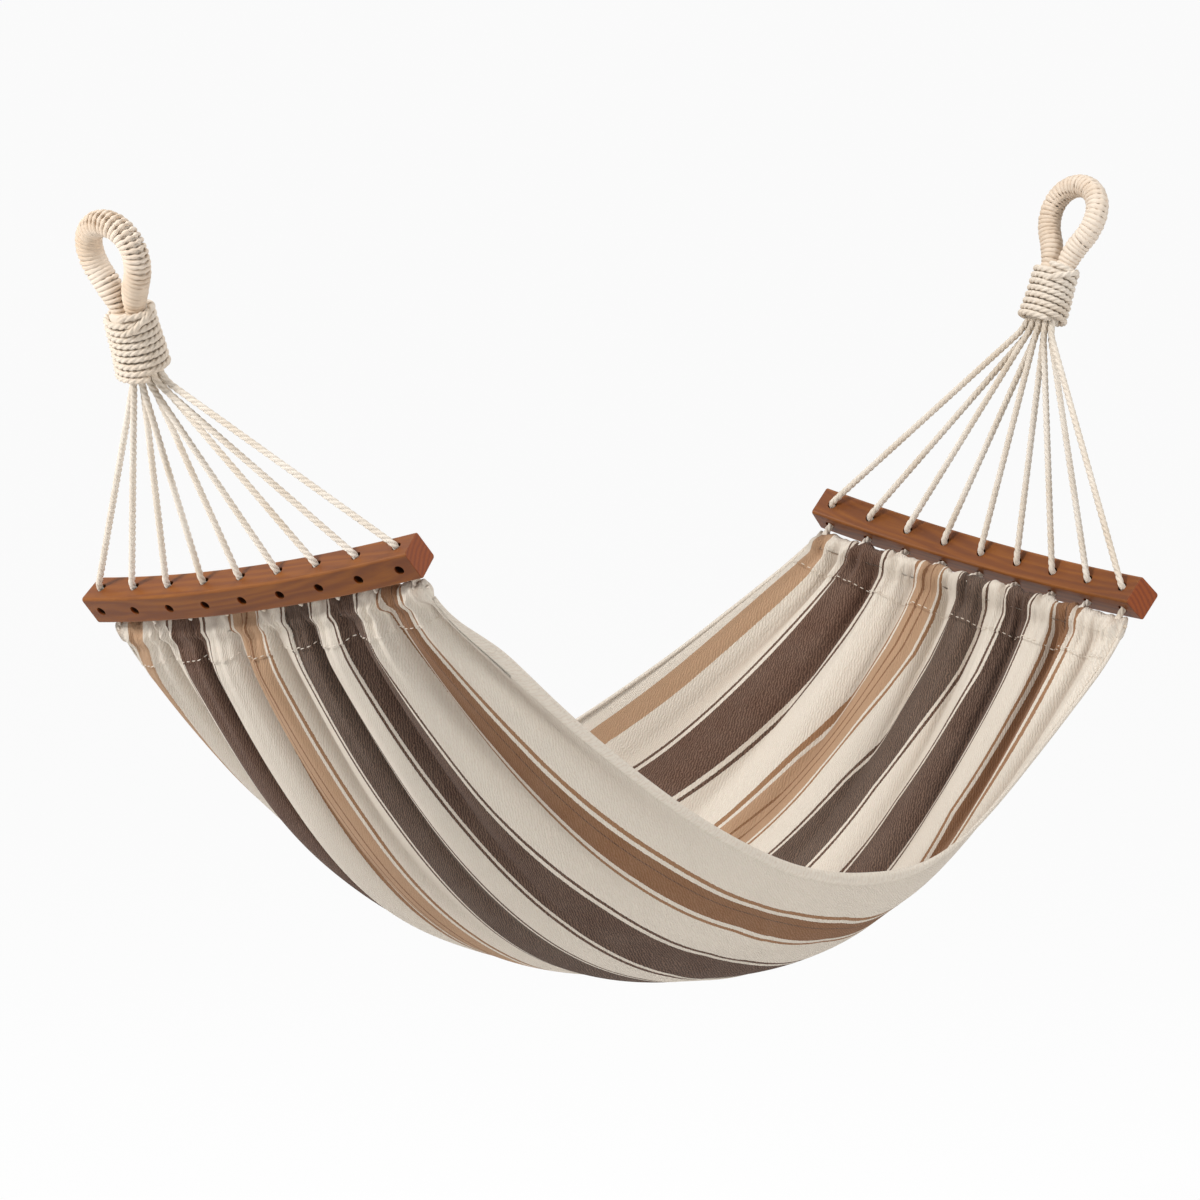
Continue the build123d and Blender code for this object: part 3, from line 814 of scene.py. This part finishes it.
def flatAlong(place):
    # distance along the lowest line from mid length, in metres
    steps = np.linspace(-1, 1, 801)
    run = arcLength(bedLine(steps)) * mm
    return np.interp(place, steps, run - run[400])


def bedRows():
    # places along the bed, close together near the hems
    rate = np.linalg.norm((bedLine(1.0) - bedLine(0.998))) / 0.002
    first = 1 - bedPlan["start"] / rate
    near = np.linspace(first, 0.84, 56)
    middle = np.linspace(0.84, -0.84, 132)[1:-1]
    return np.concatenate([-near, -middle, near[::-1]])


def addBed():
    # The section is a closed line: the inner face from near to far, a rolled hem, the outer face
    # back, and the other rolled hem. A roll is a circle that touches the outer face.
    places = bedRows()[:, None]
    half, count = bedPlan["thick"] / 2, bedPlan["columns"]
    sides = np.linspace(-1, 1, count)[None, :]
    folds = foldHeight(places, sides)
    inner = bedPoint(places, sides, folds + half)
    outer = bedPoint(places, sides, folds - half)
    u = flatAcross(places, sides)

    def rolled(side, radius):
        radius = np.broadcast_to(radius, places.shape)[..., None]
        edge = bedPoint(places, side, foldHeight(places, side))
        inward = bedPoint(places, side * 0.97, foldHeight(places, side * 0.97))
        away = unit(edge - inward)
        thick = unit(inner[:, 0:1] - outer[:, 0:1]) if side < 0 else unit(inner[:, -1:] - outer[:, -1:])
        thick = unit(thick - (thick * away).sum(-1, keepdims=True) * away)
        centre = edge + (radius - half) * thick
        begin = math.pi + np.arccos((radius - 2 * half) / radius)
        share = np.linspace(0, 1, bedPlan["rollColumns"])[None, :, None]
        turn = begin - (begin + math.pi / 2) * share
        return centre + radius * (np.cos(turn) * away + np.sin(turn) * thick)

    # the near hem is a full roll over the head half and flattens towards the foot
    full = smooth(-0.98, -0.86, places) * (1 - smooth(0.2, 0.62, places))
    nearRadius = bedPlan["farRoll"] + (bedPlan["nearRoll"] - bedPlan["farRoll"]) * full
    far, near = rolled(1, bedPlan["farRoll"]), rolled(-1, nearRadius)
    points = np.concatenate([inner, far, outer[:, ::-1], near[:, ::-1]], axis=1)
    farU = np.broadcast_to(np.linspace(0.975, 0.999, far.shape[1]), far.shape[:2])
    nearU = np.broadcast_to(np.linspace(0.001, 0.025, near.shape[1]), near.shape[:2])
    across = np.concatenate([u, farU, u[:, ::-1], nearU], axis=1)
    across = np.concatenate([across, across[:, :1]], axis=1)
    v = np.broadcast_to(flatAlong(places), across.shape)
    mesh = gridMesh("bed", points, np.stack([across, v], -1), closed=True, capped=True)
    # painted shade in the fold creases of both faces, kept in the crease attribute
    shade = [creaseShade(places, sides, False), 0 * farU,
             creaseShade(places, sides[:, ::-1], True), 0 * nearU]
    setCrease(mesh, np.concatenate(shade, axis=1), 2)
    return mesh


def hemSurface(end):
    # A flattened tube about the header cord, sewn shut below it. Its top stands highest beside
    # each loop, dips a little where the loop goes in and hangs lower between loops.
    facing = end.facing
    rate = np.linalg.norm(bedLine(facing * 1.0) - bedLine(facing * 0.998)) / 0.002
    columns, rows = 420, 40
    side = np.linspace(-1.0, 1.0, columns)[:, None]
    gap = np.min(np.abs(side[:, :, None] - foldLoops[None, None, :]), axis=2) * bedPlan["halfWidth"]
    notch = np.exp(-(gap / 8.0)**2)
    bay = np.clip(gap / 40, 0, 1)
    uneven = 1.8 * np.sin(side * 37 + facing) + 1.2 * np.sin(side * 83 + 2 * facing)
    top = -(15.5 - 6 * bay**2 + uneven) * (1 - notch) - 10.5 * notch
    around = np.linspace(0, 1, rows)[None, :]
    fromTop = np.abs(np.cos(math.pi * around))**1.5
    depth = top + (bedPlan["hem"] - top) * fromTop
    rounded = np.sqrt(np.clip(fromTop / 0.16, 0, 1) * (2 - np.clip(fromTop / 0.16, 0, 1)))
    body = 1 - smooth(0.3, 0.62, fromTop)
    full = 11.5 + 4 * np.exp(-(gap / 14)**2) + 0.8 * np.sin(side * 59)
    flow = np.sign(side) * depth * 0.035
    pleat = (np.sin(side * 128 + 2 * np.sin(side * 13) + flow)
             + 0.7 * np.sin(side * 205 + facing - 2 * flow) * (0.4 + 0.6 * notch))
    relief = (pleat + 1.7) * smooth(0.02, 0.25, fromTop) * (0.3 + 0.8 * body)
    thick = (2.4 + (full - 2.4) * body + relief) * rounded
    thick = thick * np.sign(np.cos(math.pi * around) + 1e-9)
    edge = smooth(0.965, 1.0, np.abs(side))
    thick = thick * (1 - 0.5 * edge)
    place = facing * (1 - np.maximum(depth, 0) / rate)
    _, _, way = bedFrame(facing * 1.0)
    points = bedPoint(place, side, foldHeight(place, side) * smooth(-4, 14, depth) + thick)
    points = points + np.minimum(depth, 0)[..., None] * (-facing * way)
    u = flatAcross(place, np.broadcast_to(side, place.shape))
    u = np.concatenate([u, u[:, :1]], axis=1)
    v = flatAlong(facing * 1.0) - facing * depth * mm
    v = np.concatenate([v, v[:, :1]], axis=1)
    mesh = gridMesh("hem", points, np.stack([u, v], -1), closed=True, capped=True)
    inside = np.cos(math.pi * around) > 0
    shade = np.where(inside, creaseShade(place, side, False), creaseShade(place, side, True))
    # painted shade also where each loop dips into the top of the hem
    shade = np.maximum(shade, 0.8 * notch * (1 - smooth(-8, 22, depth)))
    setCrease(mesh, shade, 2)
    return mesh, rate


stitchPlan = {"count": 74, "inset": 4, "lift": 3.4, "radius": 0.85, "share": 0.56}


def stitchRow(end, rate, face):
    # short capsules, one after another, along the hem's lower line on one face
    facing = end.facing
    count, rows, columns = stitchPlan["count"], 5, 6
    depth = bedPlan["hem"] - stitchPlan["inset"]
    place = facing * (1 - depth / rate)
    sides = np.linspace(-0.985, 0.985, 1200)
    line = bedPoint(place, sides, foldHeight(place, sides) + face * stitchPlan["lift"])
    run = arcLength(line)
    pitch = run[-1] / count
    begin = np.arange(count) * pitch
    grids = []
    _, up, _ = bedFrame(place)
    turn = np.arange(columns) / columns * 2 * math.pi
    swell = np.array([0.35, 0.9, 1.0, 0.9, 0.35])
    for first in begin:
        path = resample(line, first + np.linspace(0, stitchPlan["share"] * pitch, rows))
        _, side, other = frameAlong(path, up)
        points = ringPoints(path, side, other, turn[None, :], stitchPlan["radius"] * swell[:, None])
        grids.append(gridMesh("stitch", points, np.zeros((rows, columns + 1, 2)), closed=True, capped=True))
    return grids


cream = tone(222, 212, 198)
tan, tanBrown = tone(178, 143, 112), tone(128, 88, 56)
brown, brownDark, greyBrown = tone(72, 46, 34), tone(64, 44, 35), tone(66, 52, 44)
pinBrown, pinTan = tone(72, 48, 36), tone(150, 110, 76)

stripeWidths = [      # from the near edge, in thousandths of the width
    (75, cream), (6, pinTan), (8, cream), (14, tanBrown), (3, pinBrown), (31, tanBrown), (7, cream),
    (6, pinTan), (62, cream), (5, pinBrown), (7, cream), (80, brownDark), (6, cream), (5, pinBrown),
    (53, cream), (5, pinBrown), (7, cream), (84, greyBrown), (6, cream), (5, pinBrown), (65, cream),
    (6, pinTan), (6, cream), (24, tan), (5, tanBrown), (15, tan), (4, tanBrown), (22, tan), (7, cream),
    (9, pinTan), (84, cream), (6, pinBrown), (8, cream), (90, brown), (7, cream), (7, pinBrown),
    (65, cream), (45, tan), (50, cream),
]


def stripeGroup():
    # one colour a stripe, from its width, on two ramps that each hold half the cloth
    group, nodes, given, result = newGroup("stripes", [("Across", "Float", 0.0)], [("Color", "Color")])
    edges = np.concatenate([[0], np.cumsum([width for width, _ in stripeWidths])])
    total = edges[-1]
    half = len(stripeWidths) // 2
    split = edges[half]
    first = [(edges[k] / split, stripeWidths[k][1]) for k in range(half)]
    second = [((edges[k] - split) / (total - split), stripeWidths[k][1])
              for k in range(half, len(stripeWidths))]
    share = nodes.math("MULTIPLY", given.outputs["Across"], 1 / (split * mm))
    low = nodes.ramp(share, first, "CONSTANT")
    shifted = nodes.math("DIVIDE", nodes.math("SUBTRACT", given.outputs["Across"], split * mm),
                         (total - split) * mm)
    high = nodes.ramp(shifted, second, "CONSTANT")
    pick = nodes.math("GREATER_THAN", given.outputs["Across"], split * mm)
    nodes.link(nodes.mix(pick, low, high), result.inputs["Color"])
    return group


def crepeGroup():
    # wavering ridges a few millimetres apart, slanted across the cloth, over a fine plain weave
    group, nodes, given, result = newGroup(
        "crepe", [("Across", "Float", 0.0), ("Along", "Float", 0.0)],
        [("Ridge", "Float"), ("Weave", "Float")])
    flat = nodes.add("CombineXYZ", {0: given.outputs["Across"], 1: given.outputs["Along"],
                                    2: 0.0}).outputs[0]
    turned = nodes.add("Mapping", {"Vector": flat, "Rotation": (0, 0, math.radians(28))}).outputs[0]
    wave = nodes.add("TexWave", {"Vector": turned, "Scale": 72.0, "Distortion": 7.0, "Detail": 2.0,
                                 "Detail Scale": 1.6, "Detail Roughness": 0.55}, wave_profile="SIN")
    ridge = wave.outputs["Fac"]
    breakup = nodes.noise(flat, 160.0, 3.0)
    ridge = nodes.math("MULTIPLY_ADD", breakup, 0.5, nodes.math("MULTIPLY", ridge, 0.75))
    warp = nodes.math("SINE", nodes.math("MULTIPLY", given.outputs["Across"], 2 * math.pi / 0.0011))
    weft = nodes.math("SINE", nodes.math("MULTIPLY", given.outputs["Along"], 2 * math.pi / 0.0013))
    nodes.link(ridge, result.inputs["Ridge"])
    nodes.link(nodes.math("MULTIPLY", warp, weft), result.inputs["Weave"])
    return group


def clothMaterial():
    material, nodes, shader = newMaterial("striped cloth", 0.95, sheen=0.06, specular=0.12)
    uv = nodes.add("UVMap", uv_map="flat").outputs[0]
    split = nodes.add("SeparateXYZ", {0: uv})
    across, along = split.outputs[0], split.outputs[1]
    fray = nodes.noise(uv, 260.0, 2.0)
    wavering = nodes.math("MULTIPLY_ADD", nodes.math("SUBTRACT", fray, 0.5), 0.0028, across)
    stripes = useGroup(nodes, stripeGroup(), {"Across": wavering}).outputs[0]
    crepe = useGroup(nodes, crepeGroup(), {"Across": across, "Along": along})
    ridge = crepe.outputs["Ridge"]
    pale = nodes.mix(1.0, stripes, tone(232, 214, 203), "MULTIPLY")
    lifted = nodes.mix(0.36, stripes, tone(176, 138, 116))
    dark = nodes.add("RGBToBW", {0: stripes}).outputs[0]
    darkness = nodes.math("SUBTRACT", 1.0, nodes.math("MULTIPLY", dark, 3.2))
    darkness = nodes.add("Clamp", {0: darkness}).outputs[0]
    crest = nodes.ease(ridge, 0.52, 0.86)
    threads = nodes.math("MULTIPLY", crest, nodes.math("MULTIPLY", darkness, 0.8))
    thready = nodes.mix(threads, stripes, lifted)
    # painted shade: in the valleys of the crepe ridges the stripe colour is mixed towards pale, the stripe
    # colour darkened by a multiply
    valley = nodes.ease(ridge, 0.5, 0.2)
    shaded = nodes.mix(nodes.math("MULTIPLY", valley, 0.35), thready, pale)
    blotch = nodes.noise(uv, 14.0, 4.0, 0.6)
    wornAndCreaseShaded = nodes.mix(nodes.math("MULTIPLY", blotch, 0.09), shaded, tone(220, 206, 188))
    # painted shade: the crease attribute darkens the cloth towards a warm brown in its fold creases
    crease = nodes.add("Attribute", attribute_name="crease").outputs["Fac"]
    creaseShadeTone = nodes.mix(1.0, wornAndCreaseShaded, tone(146, 116, 90), "MULTIPLY")
    wornAndCreaseShaded = nodes.mix(nodes.math("MULTIPLY", crease, 0.62), wornAndCreaseShaded, creaseShadeTone)
    nodes.link(wornAndCreaseShaded, shader.inputs["Base Color"])
    height = nodes.math("MULTIPLY_ADD", crepe.outputs["Weave"], 0.12, ridge)
    relief = nodes.add("Bump", {"Strength": 0.75, "Distance": 0.0014, "Height": height})
    nodes.link(relief.outputs[0], shader.inputs["Normal"])
    return material


clothFinish = clothMaterial()
bed = addPiece(addBed(), "bed_sheet", "bed", clothFinish, ["bed_cloth"])
hems = []
for end in ends:
    hemMesh, hemRate = hemSurface(end)
    hem = addPiece(hemMesh, f"{end.name}_hem", "bed", clothFinish, [f"{end.name}_end_hem"])
    stitches = joinGrids("stitches", stitchRow(end, hemRate, 1) + stitchRow(end, hemRate, -1))
    thread = addPiece(stitches, f"{end.name}_hem_stitches", "bed", ropeFinish)
    hems += [hem, thread]
print("bed hung")


def grainGroup():
    # long grain along the bar's own x axis, and darker open pores
    group, nodes, given, result = newGroup(
        "grain", [("Position", "Vector", None)], [("Tone", "Float"), ("Pores", "Float")])
    stretched = nodes.add("Mapping", {"Vector": given.outputs["Position"],
                                      "Scale": (1.0, 14.0, 14.0)}).outputs[0]
    drift = nodes.noise(stretched, 2.6, 3.0, 0.55)
    bands = nodes.add("TexWave", {"Vector": stretched, "Scale": 2.3, "Distortion": 12.0, "Detail": 3.0,
                                  "Detail Scale": 0.9}, bands_direction="DIAGONAL").outputs["Fac"]
    fine = nodes.noise(nodes.add("Mapping", {"Vector": given.outputs["Position"],
                                             "Scale": (6.0, 220.0, 220.0)}).outputs[0], 3.0, 4.0, 0.6)
    body = nodes.math("MULTIPLY_ADD", bands, 0.22, nodes.math("MULTIPLY", drift, 0.62))
    body = nodes.math("MULTIPLY_ADD", fine, 0.3, body)
    nodes.link(body, result.inputs["Tone"])
    nodes.link(fine, result.inputs["Pores"])
    return group


grain = grainGroup()


def woodMaterial(end):
    material, nodes, shader = newMaterial(f"{end.name} hardwood", 0.5, specular=0.28)
    shader.inputs["Coat Weight"].default_value = 0.06
    shader.inputs["Coat Roughness"].default_value = 0.35
    coords = nodes.add("TexCoord")
    turn = Matrix((Vector(end.along), Vector(end.out), Vector(end.up))).transposed()
    local = nodes.add("Mapping", {"Vector": coords.outputs["Object"], "Location": tuple(end.middle * mm),
                                  "Rotation": turn.to_euler("XYZ")}, vector_type="TEXTURE").outputs[0]
    facing = nodes.add("VectorMath", {0: coords.outputs["Normal"], 1: tuple(end.along)},
                       operation="DOT_PRODUCT").outputs["Value"]
    endFace = nodes.add("MapRange", {0: nodes.math("ABSOLUTE", facing), 1: 0.6, 2: 0.9}).outputs[0]
    made = useGroup(nodes, grain, {"Position": local})
    long = nodes.ramp(made.outputs["Tone"], [(0.25, tone(80, 38, 2)), (0.45, tone(101, 51, 4)),
                                             (0.62, tone(115, 62, 6)), (0.8, tone(129, 74, 11))])
    pieces = nodes.add("SeparateXYZ", {0: local})
    ringPlace = nodes.add("Mapping", {"Vector": local, "Location": (0, 0.05, 0.09)}).outputs[0]
    rings = nodes.add("TexWave", {"Vector": ringPlace, "Scale": 34.0, "Distortion": 2.5, "Detail": 3.0},
                      wave_type="RINGS", rings_direction="X").outputs["Fac"]
    speckle = nodes.noise(local, 900.0, 3.0)
    rings = nodes.math("MULTIPLY_ADD", speckle, 0.7, nodes.math("MULTIPLY", rings, 0.5))
    cut = nodes.ramp(rings, [(0.3, tone(122, 50, 12)), (0.75, tone(152, 72, 20))])
    colour = nodes.mix(endFace, long, cut)
    # the ends are darker, and patches vary along the bar
    reach = nodes.math("ABSOLUTE", pieces.outputs[0])
    darkEnd = nodes.ease(reach, 0.27, 0.35)
    patch = nodes.noise(local, 7.0, 3.0)
    darkEnd = nodes.math("MULTIPLY", darkEnd, nodes.math("MULTIPLY_ADD", patch, 0.9, 0.1))
    colour = nodes.mix(nodes.math("MULTIPLY", darkEnd, 0.55), colour, tone(104, 52, 24))
    colour = nodes.mix(nodes.math("MULTIPLY", patch, 0.25), colour, tone(122, 64, 24))
    # a painted highlight along the arrises, and painted shade on the walls of the holes, inside the square
    # section
    bow = nodes.math("DIVIDE", nodes.math("MULTIPLY", reach, reach), 2 * bowRadius * mm)
    outward = nodes.math("ABSOLUTE", nodes.math("ADD", pieces.outputs[1], bow))
    upward = nodes.math("ABSOLUTE", pieces.outputs[2])
    least, most = nodes.math("MINIMUM", outward, upward), nodes.math("MAXIMUM", outward, upward)
    # painted highlight: the arrises are mixed towards a paler brown
    arrisHighlight = nodes.ease(least, 0.0205, 0.0245)
    arrisHighlight = nodes.math("MULTIPLY", arrisHighlight, nodes.math("MULTIPLY_ADD", made.outputs["Pores"], 0.5, 0.1))
    colour = nodes.mix(arrisHighlight, colour, tone(158, 98, 42))
    # painted shade: inside the section the hole walls are mixed towards near black
    deep = nodes.ease(most, 0.0256, 0.021)
    deep = nodes.math("MULTIPLY", deep, nodes.math("LESS_THAN", reach, 0.34))
    colour = nodes.mix(nodes.math("MULTIPLY", deep, 0.9), colour, tone(38, 20, 9))
    nodes.link(colour, shader.inputs["Base Color"])
    gloss = nodes.math("MULTIPLY_ADD", made.outputs["Pores"], 0.22, 0.4)
    nodes.link(gloss, shader.inputs["Roughness"])
    relief = nodes.add("Bump", {"Strength": 0.35, "Distance": 0.0004, "Height": made.outputs["Pores"]})
    nodes.link(relief.outputs[0], shader.inputs["Normal"])
    return material


for end in ends:
    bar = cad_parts[f"{end.name}_spreader_bar"]
    bar.data.materials.clear()
    bar.data.materials.append(woodMaterial(end))
print("bars finished")


studioPlan = {
    "floor": -1.78, "size": 400.0, "world": 0.27, "glow": 0.94, "target": (1.1, -0.05, -0.7),
    # name, place, size in metres and watts
    "lamps": [("key", (-4.2, 1.4, 2.6), 1.5, 330), ("fill", (2.2, -5.6, 1.8), 2.0, 160),
              ("top", (1.3, 0.3, 3.6), 2.0, 80)],
}


def addStudio(plan):
    half = plan["size"] / 2
    corners = [(-half, -half, plan["floor"]), (half, -half, plan["floor"]),
               (half, half, plan["floor"]), (-half, half, plan["floor"])]
    mesh = bpy.data.meshes.new("floor")
    mesh.from_pydata(corners, [], [(0, 1, 2, 3)])
    floor = bpy.data.objects.new("floor", mesh)
    bpy.context.collection.objects.link(floor)
    material = bpy.data.materials.new("pale floor")
    material.use_nodes = True
    nodes = Nodes(material.node_tree)
    shader = material.node_tree.nodes["Principled BSDF"]
    shader.inputs["Base Color"].default_value = (0.9, 0.9, 0.9, 1)
    shader.inputs["Roughness"].default_value = 0.9
    glow = nodes.add("Emission", {"Color": (1, 1, 1, 1), "Strength": 1.0})
    path = nodes.add("LightPath")
    seen = nodes.math("MAXIMUM", path.outputs["Is Camera Ray"], path.outputs["Is Glossy Ray"])
    seen = nodes.math("MAXIMUM", seen, path.outputs["Is Transmission Ray"])
    blend = nodes.add("MixShader", {0: nodes.math("MULTIPLY", seen, plan["glow"]), 1: shader.outputs[0],
                                    2: glow.outputs[0]})
    nodes.link(blend.outputs[0], material.node_tree.nodes["Material Output"].inputs[0])
    mesh.materials.append(material)
    world = bpy.data.worlds.new("studio")
    world.use_nodes = True
    bpy.context.scene.world = world
    nodes = Nodes(world.node_tree)
    ground = world.node_tree.nodes["Background"]
    path = nodes.add("LightPath")
    seen = nodes.math("MAXIMUM", path.outputs["Is Camera Ray"], path.outputs["Is Glossy Ray"])
    seen = nodes.math("MAXIMUM", seen, path.outputs["Is Transmission Ray"])
    strength = nodes.math("MULTIPLY_ADD", seen, 1.0 - plan["world"], plan["world"])
    ground.inputs["Color"].default_value = (1, 1, 1, 1)
    nodes.link(strength, ground.inputs["Strength"])
    target = Vector(plan["target"])
    for name, place, size, power in plan["lamps"]:
        data = bpy.data.lights.new(name, "AREA")
        data.size, data.energy = size, power
        lamp = bpy.data.objects.new(name, data)
        bpy.context.collection.objects.link(lamp)
        lamp.location = place
        lamp.rotation_mode = "QUATERNION"
        lamp.rotation_quaternion = (target - Vector(place)).to_track_quat("-Z", "Y")
    bpy.context.scene.view_settings.view_transform = "Standard"


addStudio(studioPlan)
print("studio lit")
